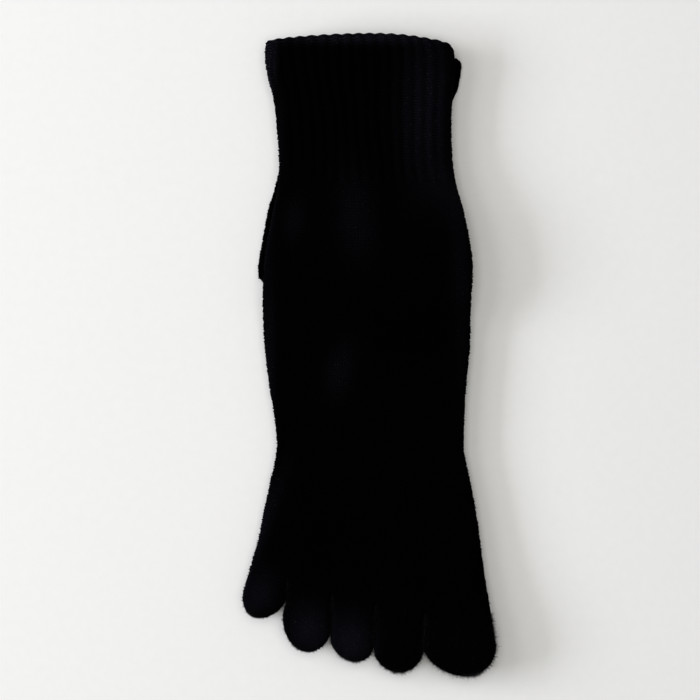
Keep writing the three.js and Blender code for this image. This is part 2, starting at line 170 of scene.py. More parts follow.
# The lower sock is one knitted tube of black cotton yarn, pressed flat: a leg in two-by-two rib,
# open at the top, a plain foot, and five toes. It lies instep down, and the floor flattens it.
# Its sizes are in millimetres, from the middle of the pair on the floor, as in the part's source.
MM = 0.001
TINY = 1e-9  # keeps a division by nothing away
WALL = 1.4
CLEARANCE = 0.37  # between pieces that lie on each other
STITCHES_PER_RIB = 4
WALES = 60  # stitches across one face
EDGE_WALES = 4  # stitches round each folded edge
COURSE = 1.4  # the height of a stitch
ROWS_PER_COURSE = 2
ROUND = 4  # the way round a ring, in quarters: upper face, right fold, lower face, left fold
RIB_RELIEF = 0.7
RIB_POWER = 0.7  # less than 1 makes the ribs broad and their grooves narrow
RIB_END = 82.0  # the y where the ribs stop, and the length over which they fade
RIB_FADE = 7.0
RIB_SCALLOP = 0.55  # how far each rib stands up at the rim
SCALLOP_FADE = 4.0
EDGE_RIBBED = 0.5  # the share of a rib's relief that shows on a folded edge
EDGE_SUNK = 0.7  # the share of a rib's relief by which a folded edge lies in
SERRATION = 0.13  # how far each stitch stands out on a folded edge
RAGGED = 0.24  # how far a row of stitches strays on a folded edge
FACING_UP = 0.999  # the upward part of a direction past which it belongs to a flat face

# How far the ribs wander, as two waves: size, length down the leg, and phase from fold to fold.
SWAYS = ((0.45, 11, 4), (0.3, 6.1, -7))

# The cuff's arch: how far its corners lie below its top, where that is across the sock, and how
# far down the leg the rows of stitches bend with it.
ARCH_LEFT = 2.9
ARCH_RIGHT = 3.8
ARCH_TOP = 0.2
ARCH_END = 70.0
RIM_TOP = 153.2

# The line where the toes start: its middle, its slant and its bow, and from where, and how
# suddenly, the rows come to follow it.
ROOT_Y = -117.8
ROOT_SLANT = -11.5
ROOT_BOW = 5.8
ROOT_FROM = -40.0
ROOT_GATHER = 1.5

TOE_GAP = 0.5
TOE_PART = 0.14  # how far down a toe its sides part, and then are fully round
TOE_ROUND = 0.55
TOE_TIP_EDGE = 0.8  # the most that its rounding takes up of its width
TIP_LOOSE = (0.1, 0.5)  # the turn round a tip over which its stitches come to stray
SERRATED_FROM = 0.5  # the depth below which a toe's edge bears no stitches
CROTCH_WALL = 1.5  # how much thicker the wall is between two toes

# The lower heel pocket's fold and middle in the part's source. They fix the frame's place.
POCKET_FOLD = 36.2
POCKET_MIDDLE = -3.4
pocket_low, pocket_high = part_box("lower_heel")
FRAME_SHIFT = np.array(
    [(pocket_low.x + pocket_high.x) / 2 - POCKET_MIDDLE * MM, pocket_low.y - POCKET_FOLD * MM, 0]
)

# Half the height of a pressed sock: y, height.
HALF_THICKNESS = np.array(
    [(-160, 2.9), (-130, 2.9), (-108, 2.4), (-80, 2.0), (0, 2.0), (90, 2.0), (125, 2.1), (160, 2.5)]
)

# One row for each toe from the little one: the share of the foot's width at which it ends on its
# right, the end of its right side, where it parts from the next toe, and the end of its tip.
TOES = np.array(
    [
        (0.136, -40.2, -119.2, -56.9, -125.1),
        (0.335, -18.9, -135.4, -35.4, -140.3),
        (0.525, 1.8, -140.7, -9.2, -146.9),
        (0.741, 25.7, -142.1, 13.8, -152.4),
        (1.0, 59.0, -133.5, 50.1, -153.5),
    ]
)
SIDE_ENDS = np.vstack([(-57.8, -107.3), TOES[:, 1:3]])  # from the little toe's outer side
OUTER_START = math.radians(14)  # round the tip, where the pair's own two sides go over into it
SIDE_COURSES = (7, 13, 16, 15, 12)  # in the sides of each toe, and in its tip
TIP_COURSES = (11, 11, 8, 9, 14)

# The left and right edges along the lower sock: y, left, right.
LOWER_OUTLINE = (
    (-137, -59.2, 58.9),
    (-117.8, -58.8, 55.5),
    (-103.4, -55.6, 53),
    (-89, -51.6, 51),
    (-74.6, -48.6, 48.5),
    (-60.2, -45.6, 45.6),
    (-45.8, -42.9, 43.4),
    (-17, -46, 44.2),
    (4.6, -48.2, 46),
    (26.2, -49, 46.5),
    (33.6, -50.8, 46.8),
    (37, -53.1, 47),
    (40.6, -53.7, 47),
    (45.4, -53.2, 46.6),
    (55, -51.4, 44.4),
    (69.4, -48.7, 41),
    (81.4, -45.2, 38.6),
    (91, -43, 37.4),
    (112, -43.4, 38),
    (121, -43.9, 39.9),
    (126.5, -44.3, 42),
    (132, -44.9, 43.4),
    (139.6, -45.1, 44.3),
    (142.4, -44.7, 42.4),
    (147, -44, 40.6),
)


def along(places, values, y):
    """A smooth curve through a table: between two rows a cubic, whose slope at each row is the
    slope from the row before to the row after; past the ends the last value holds."""
    y = np.clip(y, places[0], places[-1])
    steps = np.diff(values) / np.diff(places)
    slopes = np.concatenate(
        [steps[:1], (values[2:] - values[:-2]) / (places[2:] - places[:-2]), steps[-1:]]
    )
    i = np.clip(np.searchsorted(places, y) - 1, 0, len(places) - 2)
    span = places[i + 1] - places[i]
    t = (y - places[i]) / span
    return (
        values[i] * (1 + 2 * t) * (1 - t) ** 2
        + values[i + 1] * t * t * (3 - 2 * t)
        + slopes[i] * span * t * (1 - t) ** 2
        - slopes[i + 1] * span * t * t * (1 - t)
    )


def rise(x, start, end):
    """0 up to start, 1 past end, and 3t^2 - 2t^3 between them, with t the share of the way."""
    t = np.clip((x - start) / (end - start), 0, 1)
    return t * t * (3 - 2 * t)


def off_folds(u):
    """1 at the middle of a sock and 0 at both folds: one less the fourth power of u."""
    return 1 - u**4


def half_thickness(y):
    """Half the height of a pressed sock, on a smooth curve through its table."""
    return along(HALF_THICKNESS[:, 0], HALF_THICKNESS[:, 1], y)


def rib_strength(y):
    """1 in the ribbed leg and 0 in the plain foot, with a smooth step between."""
    return rise(y, RIB_END - RIB_FADE / 2, RIB_END + RIB_FADE / 2)


def rib_wave(wale):
    """A rounded rib for every four stitches: a power of a raised cosine, 0 in a groove."""
    return (0.5 - 0.5 * np.cos(2 * np.pi * wale / STITCHES_PER_RIB)) ** RIB_POWER


def row_place(y, u):
    """Where a row of stitches lies at u across the sock, -1 to 1: lower than its middle by the
    cuff's arch, which grows with the square of the distance from its top, and slanting down to
    the big toe at the foot's end, by a parabola that grows from the instep down."""
    side = (u - ARCH_TOP) / np.where(u < ARCH_TOP, 1 + ARCH_TOP, 1 - ARCH_TOP)
    depth = np.where(u < ARCH_TOP, ARCH_LEFT, ARCH_RIGHT)
    arch = depth * side * side * rise(y, ARCH_END, RIM_TOP)
    bend = (np.maximum(ROOT_FROM - y, 0) / (ROOT_FROM - ROOT_Y)) ** ROOT_GATHER
    return y - arch + bend * (ROOT_SLANT * u + ROOT_BOW * u * u)


def edges(sock, y):
    """Both ends of the row of stitches at y, each as x and y on the sock's outline."""
    places, lefts, rights = sock["outline"].T
    left_y, right_y = row_place(y, -1.0), row_place(y, 1.0)
    return (along(places, lefts, left_y), left_y), (along(places, rights, right_y), right_y)


def ring_round(across, fold_steps):
    """The places round a pressed tube, as its share of the way in quarters, its u across and its
    angle: over the upper face at 90 degrees, down the right fold, back under and up the left."""
    fold = np.arange(1, fold_steps) / fold_steps
    flat = np.full(len(across), 90.0)
    share = np.concatenate([(across + 1) / 2, 1 + fold, 2 + (1 - across[::-1]) / 2, 3 + fold])
    u = np.concatenate([across, np.ones(len(fold)), across[::-1], -np.ones(len(fold))])
    angle = np.concatenate([flat, 90 - 180 * fold, -flat, -90 - 180 * fold])
    return share, u, np.radians(angle)


def wales_round(share, first=0, across=WALES):
    """The stitch count at each share of the way round, even over each face and each fold."""
    total = first + np.cumsum([0, across, EDGE_WALES, across, EDGE_WALES])
    return np.interp(share, np.arange(ROUND + 1), total)


def sway(y, u):
    """How far the ribs wander sideways: sine waves down the leg, out of step across it, less and
    less towards both folds."""
    waves = sum(size * np.sin(y / length + phase * u) for size, length, phase in SWAYS)
    return waves * off_folds(u) * rib_strength(y)


def strays(rows, outward_x, seed):
    """How far each row of stitches strays out or in on the left and on the right fold."""
    stray = RAGGED * np.random.default_rng(seed).uniform(-1, 1, (rows, 2))
    return np.where(outward_x > 0, stray[:, :1], stray[:, 1:]) * np.abs(outward_x)


def tube_points(sock, ring, y, inset):
    """The leg and foot: at each row, a flat ring whose folds are half circles of half the cloth's
    thickness less the inset, over what the sock rests on. On the outside, ribs and the stitches
    on the folds stand out along the ring's own outward direction."""
    share, u, angle = ring
    y, inset = y[:, None], inset[:, None]
    outward_x, outward_z = np.cos(angle), np.sin(angle)
    top = outward_z > FACING_UP
    bottom = outward_z < -FACING_UP
    flat = top | bottom
    (far_left, left_y), (far_right, right_y) = edges(sock, y)
    left, right = far_left + half_thickness(left_y), far_right - half_thickness(right_y)
    x = (left + right) / 2 + (right - left) / 2 * u
    place = row_place(y, u)
    x = x + sway(place, u)
    outside = 1 - inset / WALL
    wale = wales_round(share)
    course = (sock["rim"] - y) / COURSE
    ribbed = np.where(top, 1.0, np.where(bottom, sock["ribbed_underneath"], EDGE_RIBBED))
    sunk = np.where(flat, 0.0, EDGE_SUNK)
    relief = RIB_RELIEF * ribbed * (rib_wave(wale) - sunk) * rib_strength(place)
    relief = relief + SERRATION * np.cos(2 * np.pi * course) * np.abs(outward_x)
    relief = relief + strays(len(y), outward_x, len(y))
    reach = half_thickness(place) - inset + relief * outside
    height = sock["rests_at"](x, place) + half_thickness(place) + reach * outward_z
    height = height + top * (sock["crown"] * off_folds(u) + spots(sock["creases"], x, place))
    at_rim = rise(y, sock["rim"] - SCALLOP_FADE, sock["rim"])
    scallop = RIB_SCALLOP * rib_wave(wale) * flat * at_rim
    return np.stack([x + reach * outward_x, place + scallop, height], axis=2)


def toe_tip(sock, toe, inset):
    """The middle of a toe's tip, where its sides end, half the way from its left end to its right
    one, and the way from the middle to the tip's end. Neighbouring sides keep half the gap each."""
    inner, outer = TOE_GAP / 2 + inset, sock["tuck"] + inset
    left, right = SIDE_ENDS[toe].copy(), SIDE_ENDS[toe + 1].copy()
    left[0] += sock["shift"][0] + inner if toe else outer
    right[0] += sock["shift"][0] - inner if toe < len(TOES) - 1 else -outer
    middle, half = (left + right) / 2, (right - left) / 2
    reach = TOES[toe, 3:] - middle + sock["shift"] * (1, 0)
    length = np.hypot(*reach)
    return middle + sock["shift"] * (0, 1), half, reach * (length - inset) / length


def toe_points(sock, toe, ring, t, turn, inset):
    """One toe: at t from its root to the start of its tip, and then at a turn round the tip, a
    ring on the line between two sides that go straight from the root to their ends. The tip is
    half an ellipse, and the height falls to nothing over its last half thickness as a quarter
    circle. The sides of two toes start as one upright line and become half round as they part."""
    _, u, angle = ring
    end_share = TOES[toe, 0]
    start_share = TOES[toe - 1, 0] if toe else 0.0
    middle, half, reach = toe_tip(sock, toe, inset)
    root_y = ROOT_Y + CROTCH_WALL * inset
    (far_left, left_y), (far_right, right_y) = edges(sock, root_y)
    far_left, far_right = far_left + inset, far_right - inset
    inner_left = far_left + half_thickness(left_y) - inset
    inner_right = far_right - half_thickness(right_y) + inset
    apart = rise(t, 0, TOE_PART) * (TOE_GAP / 2 + inset) * (1 - t)

    def side(sign, at_share, outermost):
        root_x = inner_left + (inner_right - inner_left) * at_share
        if outermost:
            root_x = far_left if sign < 0 else far_right
        root = np.array([root_x, row_place(root_y, 2 * at_share - 1)])
        round_tip = turn + outermost * OUTER_START * (1 - turn / (np.pi / 2))
        end = middle + sign * half * np.cos(round_tip)[:, None] + reach * np.sin(round_tip)[:, None]
        x, y = (root + (end - root) * t[:, None]).T
        return x - (0 if outermost else sign * apart), y

    first, last = toe == 0, toe == len(TOES) - 1
    (left_x, left_y), (right_x, right_y) = side(-1, start_share, first), side(1, end_share, last)
    tip_length = np.hypot(*reach)
    out = tip_length * np.sin(turn)
    narrow = np.hypot(*half) * np.cos(turn)
    rounding = rise(t, 0, TOE_ROUND)
    full = half_thickness((left_y + right_y) / 2) - inset
    fall = np.maximum(0, (out - (tip_length - full)) / full)
    closing = np.sqrt(np.maximum(0, 1 - fall**2))
    left_depth = np.minimum(full * closing * (1 if first else rounding), narrow * TOE_TIP_EDGE)
    right_depth = np.minimum(full * closing * (1 if last else rounding), narrow * TOE_TIP_EDGE)

    outward, outward_z = np.cos(angle), np.sin(angle)
    top = outward_z > FACING_UP
    course = np.arange(len(t))[:, None] / ROWS_PER_COURSE
    closing, rounding = closing[:, None], rounding[:, None]
    left_depth, right_depth = left_depth[:, None], right_depth[:, None]
    line = np.stack([right_x - left_x, right_y - left_y], axis=1)
    width = np.hypot(*line.T)[:, None]
    line = line / np.maximum(width, TINY)
    across = (u + 1) / 2
    depth = np.where(outward > 0, right_depth, left_depth)
    stitch = SERRATION * np.cos(2 * np.pi * course)
    free = np.where(outward > 0, last, first) + rise(turn, *TIP_LOOSE)[:, None]
    stitch = stitch + strays(len(t), outward, toe) * np.minimum(free, 1)
    stitch = stitch * closing * (depth > SERRATED_FROM) * (inset == 0)
    run = left_depth + (width - left_depth - right_depth) * across + (depth + stitch) * outward
    x = left_x[:, None] + run * line[:, :1]
    y = left_y[:, None] + run * line[:, 1:]
    foot_u = 2 * (start_share + (end_share - start_share) * across) - 1
    crown = sock["crown"] * off_folds(foot_u) * (1 - rise(t, 0, TOE_PART + TOE_ROUND))[:, None]
    bulge = sock["toe_bulge"] * (1 - u**2) * rounding * closing
    radius = (half_thickness(y) - inset) * closing
    height = sock["rests_at"](x, y) + half_thickness(y) + radius * outward_z
    height = height + top * (crown + bulge + spots(sock["creases"], x, y) * closing)
    return np.stack([x, y, height], axis=2)


def spots(table, x, y):
    """The sum of soft spots, each a bell curve along and across its own direction, from a table
    of x, y, half length, half width, height and direction in degrees."""
    total = np.zeros(np.broadcast(x, y).shape)
    for at_x, at_y, half_length, half_width, height, direction in table:
        turn = math.radians(direction)
        dx, dy = x - at_x, y - at_y
        along_it = (dx * math.cos(turn) + dy * math.sin(turn)) / half_length
        across_it = (dy * math.cos(turn) - dx * math.sin(turn)) / half_width
        total = total + height * np.exp(-(along_it**2) - across_it**2)
    return total


def paint_sheen_and_wear(piece, table):
    """Keeps how much paler the cloth is painted at each point, from 0 to 1, for its material to
    read: painted sheen and highlight, with some wear.
    """
    mesh = piece.data
    places = np.empty(len(mesh.vertices) * 3, np.float32)
    mesh.vertices.foreach_get("co", places)
    x, y, _ = ((places.reshape(-1, 3) - FRAME_SHIFT) / MM).T
    sheen_and_wear = mesh.attributes.new("sheen_and_wear", "FLOAT", "POINT")
    sheen_and_wear.data.foreach_set("value", np.clip(spots(table, x, y), 0, 1).astype(np.float32))


SAME_POINT = 0.002  # points closer than this are made one


class Knitting:
    """A mesh that grows grid by grid. Each corner of a face keeps its stitch and its row of
    stitches, as the UV map that the yarn's pattern follows."""

    def __init__(self):
        self.points, self.faces, self.stitches, self.count = [], [], [], 0

    def grid(self, points, wale, course, flip=False):
        """Adds a closed grid of rings in four-sided faces, which face out where the rows go towards
        the toes, and gives the number of its first point."""
        rows, columns = points.shape[:2]
        row, column = np.meshgrid(np.arange(rows - 1), np.arange(columns), indexing="ij")
        row, column = row.ravel(), column.ravel()
        corners = ((row, column), (row + 1, column), (row + 1, column + 1), (row, column + 1))
        faces = np.stack([self.count + r * columns + c % columns for r, c in corners], axis=1)
        unwrapped = np.stack([r * (columns + 1) + c for r, c in corners], axis=1)
        places = np.stack(np.broadcast_arrays(wale, course[:, None]), axis=2).reshape(-1, 2)
        self._keep(points.reshape(-1, 3), faces, places[unwrapped], flip)
        return self.count - rows * columns

    def seam(self, a, b):
        """Adds three-sided faces between two rings with different numbers of points, each given as
        share, first point, wales and course: going round, the ring whose next point comes first
        takes a step, and the face holds the other ring's point."""
        (share_a, first_a, wale_a, course_a), (share_b, first_b, wale_b, course_b) = a, b
        count_a, count_b = len(share_a), len(share_b)
        ends = np.concatenate([share_a[1:], [ROUND], share_b[1:], [ROUND]])
        step_a = np.argsort(ends, kind="stable") < count_a
        i, j = np.cumsum(step_a) - step_a, np.cumsum(~step_a) - ~step_a
        ahead = np.where(step_a, i + 1, j + 1)
        next_point = np.where(step_a, first_a + ahead % count_a, first_b + ahead % count_b)
        next_wale = np.where(
            step_a, wale_a.take(ahead, mode="clip"), wale_b.take(ahead, mode="clip")
        )
        next_course = np.where(step_a, course_a, course_b)
        ones = np.ones(len(ahead))
        faces = np.stack([first_a + i % count_a, first_b + j % count_b, next_point], axis=1)
        wale = np.stack([wale_a[i], wale_b[j], next_wale], axis=1)
        course = np.stack([course_a * ones, course_b * ones, next_course], axis=1)
        self._keep(np.empty((0, 3)), faces, np.stack([wale, course], axis=2))

    def _keep(self, points, faces, stitches, flip=False):
        if flip:
            faces, stitches = faces[:, ::-1], stitches[:, ::-1]
        self.points.append(points)
        self.faces.append(faces)
        self.stitches.append(stitches.reshape(-1, 2))
        self.count += len(points)

    def piece(self, name):
        """The mesh as an object, with points that coincide made one and its shading smooth."""
        mesh = bpy.data.meshes.new(name)
        points = np.concatenate(self.points) * MM + FRAME_SHIFT
        mesh.from_pydata(points, [], [face for part in self.faces for face in part.tolist()])
        stitch_map = mesh.uv_layers.new(name="stitches")
        stitch_map.data.foreach_set("uv", np.concatenate(self.stitches).astype(np.float32).ravel())
        made = bmesh.new()
        made.from_mesh(mesh)
        bmesh.ops.remove_doubles(made, verts=made.verts, dist=SAME_POINT * MM)
        for face in made.faces:
            face.smooth = True
        made.to_mesh(mesh)
        made.free()
        return placed(name, mesh)


FOLD_STEPS = 12  # places round a fold, and across the ribs, the foot and each toe
RIB_STEPS = WALES * 3 // 2
FOOT_STEPS = 44
TOE_STEPS = (12, 14, 13, 15, 20)
INNER_FOLD_STEPS = 4  # and on the inside, which hardly shows
INNER_TOE_STEPS = (4, 5, 4, 5, 7)
INNER_ROWS = 70
LIP_ROWS = 9


def evenly(counts, ends):
    """Places from -1 to 1 with so many steps in each stretch between the given shares."""
    starts = np.concatenate([[0.0], ends[:-1]])
    steps = [
        start + (end - start) * np.arange(1, count + 1) / count
        for start, end, count in zip(starts, ends, counts)
    ]
    return 2 * np.concatenate([[0.0], *steps]) - 1


def knit_toes(knitting, sock, root_points, root_course, counts, fold_steps, rows, inset):
    """The five toes, each grown from its own stretch of the foot's last ring."""
    total = sum(counts)
    below = total + fold_steps
    start = 0
    grown = []
    for toe, count in enumerate(counts):
        end = start + count
        ring = ring_round(np.linspace(-1, 1, count + 1), fold_steps)
        shaft = SIDE_COURSES[toe] * rows + 1
        tip = TIP_COURSES[toe] * rows
        t = np.concatenate([np.linspace(0, 1, shaft), np.ones(tip)])
        turns = np.linspace(0, np.pi / 2, tip + 1)[1:]
        turn = np.concatenate([np.zeros(shaft), turns])
        points = toe_points(sock, toe, ring, t, turn, inset)
        points[0, : count + 1] = root_points[start : end + 1]
        bottom = count + fold_steps
        far, near = below + total - end, below + total - start
        points[0, bottom : bottom + count + 1] = root_points[far : near + 1]
        if toe == 0:
            points[0, bottom + count + 1 :] = root_points[below + total + 1 :]
        if toe == len(counts) - 1:
            points[0, count + 1 : bottom] = root_points[total + 1 : below]
        first_wale, across = WALES * start / total, round(WALES * count / total)
        wale = wales_round(np.append(ring[0], ROUND), first_wale, across)
        course = root_course + np.arange(len(t)) / rows
        knitting.grid(points, wale, course, flip=inset > 0)
        grown.append(points)
        start = end
    return grown


def knit_sock(name, sock):
    """A whole sock in one surface: the lining side from the foot up to the mouth, round the rim,
    down the ribs, the foot and the toes. The grids differ in how many places they have round."""
    fine = COURSE / ROWS_PER_COURSE
    shares = TOES[:, 0]
    knitting = Knitting()

    def stretch(across, fold_steps, y, inset=0.0):
        ring = ring_round(across, fold_steps)
        points = tube_points(sock, ring, y, inset + np.zeros(len(y)))
        course = (sock["rim"] - y) / COURSE
        wale = wales_round(np.append(ring[0], ROUND))
        first = knitting.grid(points, wale, course)
        columns = len(ring[0])
        top_end = (ring[0], first, wale, course[0])
        low_end = (ring[0], first + (len(y) - 1) * columns, wale, course[-1])
        return points, top_end, low_end

    # The inside, with few places round, from the foot's end to the mouth.
    y = np.linspace(ROOT_Y + CROTCH_WALL * WALL, sock["rim"] - WALL, INNER_ROWS)
    inner_across = evenly(INNER_TOE_STEPS, shares)
    inner_points, inner_start, inner_end = stretch(inner_across, INNER_FOLD_STEPS, y, WALL)

    # The rim, which is half a round of the wall's thickness, and then the ribs.
    turn = np.linspace(np.pi, 0, LIP_ROWS)
    lip_y = sock["rim"] - WALL / 2 + WALL / 2 * np.sin(turn)
    lip_inset = WALL * (1 - np.cos(turn)) / 2
    ribs_low = sock["rim"] - fine * round((sock["rim"] - RIB_END + RIB_FADE) / fine)
    rib_y = np.arange(sock["rim"] - 2 * fine, ribs_low - fine / 2, -fine)
    y = np.concatenate([lip_y, rib_y])
    inset = np.concatenate([lip_inset, np.zeros(len(rib_y))])
    rib_across = np.linspace(-1, 1, RIB_STEPS + 1)
    rib_points, lip_start, rib_end = stretch(rib_across, FOLD_STEPS, y, inset)
    knitting.seam(inner_end, lip_start)

    # The foot down to two rows from its end, and these two, which are shared out among the toes.
    y = np.arange(ribs_low - fine, ROOT_Y + 2.5 * fine, -fine)
    foot_across = np.linspace(-1, 1, FOOT_STEPS + 1)
    foot_points, foot_start, foot_end = stretch(foot_across, FOLD_STEPS, y)
    knitting.seam(rib_end, foot_start)
    y = np.array([ROOT_Y + fine, ROOT_Y])
    root_rows, root_start, root_end = stretch(evenly(TOE_STEPS, shares), FOLD_STEPS, y)
    knitting.seam(foot_end, root_start)
    toes = knit_toes(
        knitting, sock, root_rows[-1], root_end[3], TOE_STEPS, FOLD_STEPS, ROWS_PER_COURSE, 0.0
    )
    knit_toes(
        knitting, sock, inner_points[0], inner_start[3], INNER_TOE_STEPS, INNER_FOLD_STEPS, 1, WALL
    )
    return knitting.piece(name), [rib_points[LIP_ROWS:], foot_points, *toes]


def floor_height(x, y):
    """What the lower sock rests on: the floor, at height 0 everywhere."""
    return np.zeros_like(x * y)


# Soft creases: x, y, half length, half width, height (less than 0 is a trough), direction.
LOWER_CREASES = (
    (-20, 92, 16, 3, -0.5, 12),
    (24, 70, 18, 4, -0.45, -15),
    (8, 10, 24, 5, -0.4, 6),
    (-16, -36, 24, 5, -0.4, 96),
    (20, -70, 22, 4.5, -0.4, 82),
    (-30, -104, 9, 2.4, -0.5, 100),
    (12, -108, 10, 2.4, -0.5, 90),
)
LOWER = {
    "outline": np.array(LOWER_OUTLINE),
    "rim": 146.2,
    "shift": np.array([1.1, 1.4]),
    "tuck": 2.0,
    "toe_bulge": 0.0,
    "ribbed_underneath": 0.0,
    "crown": 0.0,
    "rests_at": floor_height,
    "creases": LOWER_CREASES,
}
lower_sock, lower_skin = knit_sock("lower_sock_knit", LOWER)


def wired(tree, operation, *values, clamp=False):
    """A Math node, with each value a number or another node's output."""
    node = tree.nodes.new("ShaderNodeMath")
    node.operation = operation
    node.use_clamp = clamp
    feed(tree, node.inputs, dict(enumerate(values)))
    return node.outputs[0]


# The stitches' pattern, in stitches and rows. Each noise has its scale, detail and roughness.
WOBBLE_NOISE = (160, 2, 0.5)
FIBRE_NOISE = (5200, 3, 0.7)
HAZE_NOISE = (1500, 4, 0.75)
TINT_NOISE = (14, 2, 0.5)
WOBBLE = 0.5  # in stitches
LEG_POWER = 0.6
FACE_BUMP = (0.6, 2.4)  # how far a bump climbs towards its stitch's sides, and its power
BACK_BUMP = (0.2, 2.0)
BUMP_SHARE = 0.65  # of a plain stitch's height, where the rest is its legs
BACK_HEIGHT = 0.8  # of the back's bumps in the rib's grooves
GROOVE_CONTRAST = 1.6
GROOVE_MIDDLE = 0.2
FIBRE_HEIGHT = 0.45
HAZE_FROM = 0.61
HAZE_CONTRAST = 7.0
TINT_CONTRAST = 3.0


def knit_pattern():
    """The node group for the stitches. A plain stitch is a V of two yarns: across it the height
    follows a parabola on each leg, and up it a rounded bump whose place climbs towards the
    sides. In the rib's grooves the back of the knit shows, as level bumps. Fine noise is lint."""
    group = bpy.data.node_groups.new("knit_pattern", "ShaderNodeTree")
    for socket in ("Stitch", "Row", "Ribbed"):
        group.interface.new_socket(socket, in_out="INPUT", socket_type="NodeSocketFloat")
    group.interface.new_socket("Place", in_out="INPUT", socket_type="NodeSocketVector")
    for socket in ("Height", "Yarn", "Haze", "Tint"):
        group.interface.new_socket(socket, in_out="OUTPUT", socket_type="NodeSocketFloat")
    given = group.nodes.new("NodeGroupInput").outputs
    result = group.nodes.new("NodeGroupOutput").inputs
    place = given["Place"]

    def node(operation, *values, clamp=False):
        return wired(group, operation, *values, clamp=clamp)

    def off_middle(noise, middle):
        return node("SUBTRACT", soft_noise(group, place, *noise), middle)

    wobble = node("MULTIPLY", off_middle(WOBBLE_NOISE, 0.5), WOBBLE)
    stitch = node("ADD", given["Stitch"], wobble)
    row = node("ADD", given["Row"], wobble)
    across = node("ABSOLUTE", node("SUBTRACT", node("FRACT", stitch), 0.5))
    side = node("MULTIPLY", across, 2.0)
    off_leg = node("SUBTRACT", node("MULTIPLY", side, 2.0), 1.0)
    leg = node("POWER", node("SUBTRACT", 1.0, node("MULTIPLY", off_leg, off_leg)), LEG_POWER)

    def bump(climb, power):
        height = node("FRACT", node("ADD", row, node("MULTIPLY", side, climb)))
        off_bump = node("ABSOLUTE", node("SUBTRACT", node("MULTIPLY", height, 2.0), 1.0))
        return node("SUBTRACT", 1.0, node("POWER", off_bump, power))

    bumpy = node("MULTIPLY_ADD", bump(*FACE_BUMP), BUMP_SHARE, 1 - BUMP_SHARE)
    plain = node("MULTIPLY", leg, bumpy)
    phase = node("COSINE", node("MULTIPLY", given["Stitch"], 2 * math.pi / STITCHES_PER_RIB))
    in_groove = node("MULTIPLY_ADD", phase, GROOVE_CONTRAST, GROOVE_MIDDLE, clamp=True)
    groove = node("MULTIPLY", in_groove, given["Ribbed"])
    back = node("MULTIPLY", bump(*BACK_BUMP), BACK_HEIGHT)
    yarn = mixed(group, "FLOAT", groove, plain, back)
    height = node("MULTIPLY_ADD", soft_noise(group, place, *FIBRE_NOISE), FIBRE_HEIGHT, yarn)
    haze = node("MULTIPLY", off_middle(HAZE_NOISE, HAZE_FROM), HAZE_CONTRAST, clamp=True)
    tint = node("MULTIPLY_ADD", off_middle(TINT_NOISE, 0.5), TINT_CONTRAST, 0.5, clamp=True)
    feed(group, result, {"Height": height, "Yarn": yarn, "Haze": haze, "Tint": tint})
    return group


stitch_pattern = knit_pattern()

BLACK_YARN = (0.0003, 0.0003, 0.0004, 1)
# Painted sheen and highlight, with some wear: the pale violet colour of the paler areas.
VIOLET_SHEEN_AND_WEAR = (0.0056, 0.0050, 0.0084, 1)
# Painted shade: the colour that the hollows between the yarns are darkened to.
SHADE_BETWEEN_YARNS = (0.0001, 0.0001, 0.0002, 1)
LINT = (0.07, 0.07, 0.074, 1)
TINT_SHARE = 0.05
FRESH_LINT = 0.02
# Lint also grows where the cloth is painted paler by sheen and wear.
SHEEN_AND_WEAR_LINT = 0.85
RIBBED_PER_ROW = 0.2  # how fast the pattern goes over from ribbed to plain
KNIT_SURFACE = {
    "Roughness": 0.92,
    "Specular IOR Level": 0.006,
    "Sheen Weight": 0.0005,
    "Sheen Roughness": 0.45,
    "Sheen Tint": (0.55, 0.55, 0.7, 1),
}
STITCH_RELIEF = 0.00032  # metres


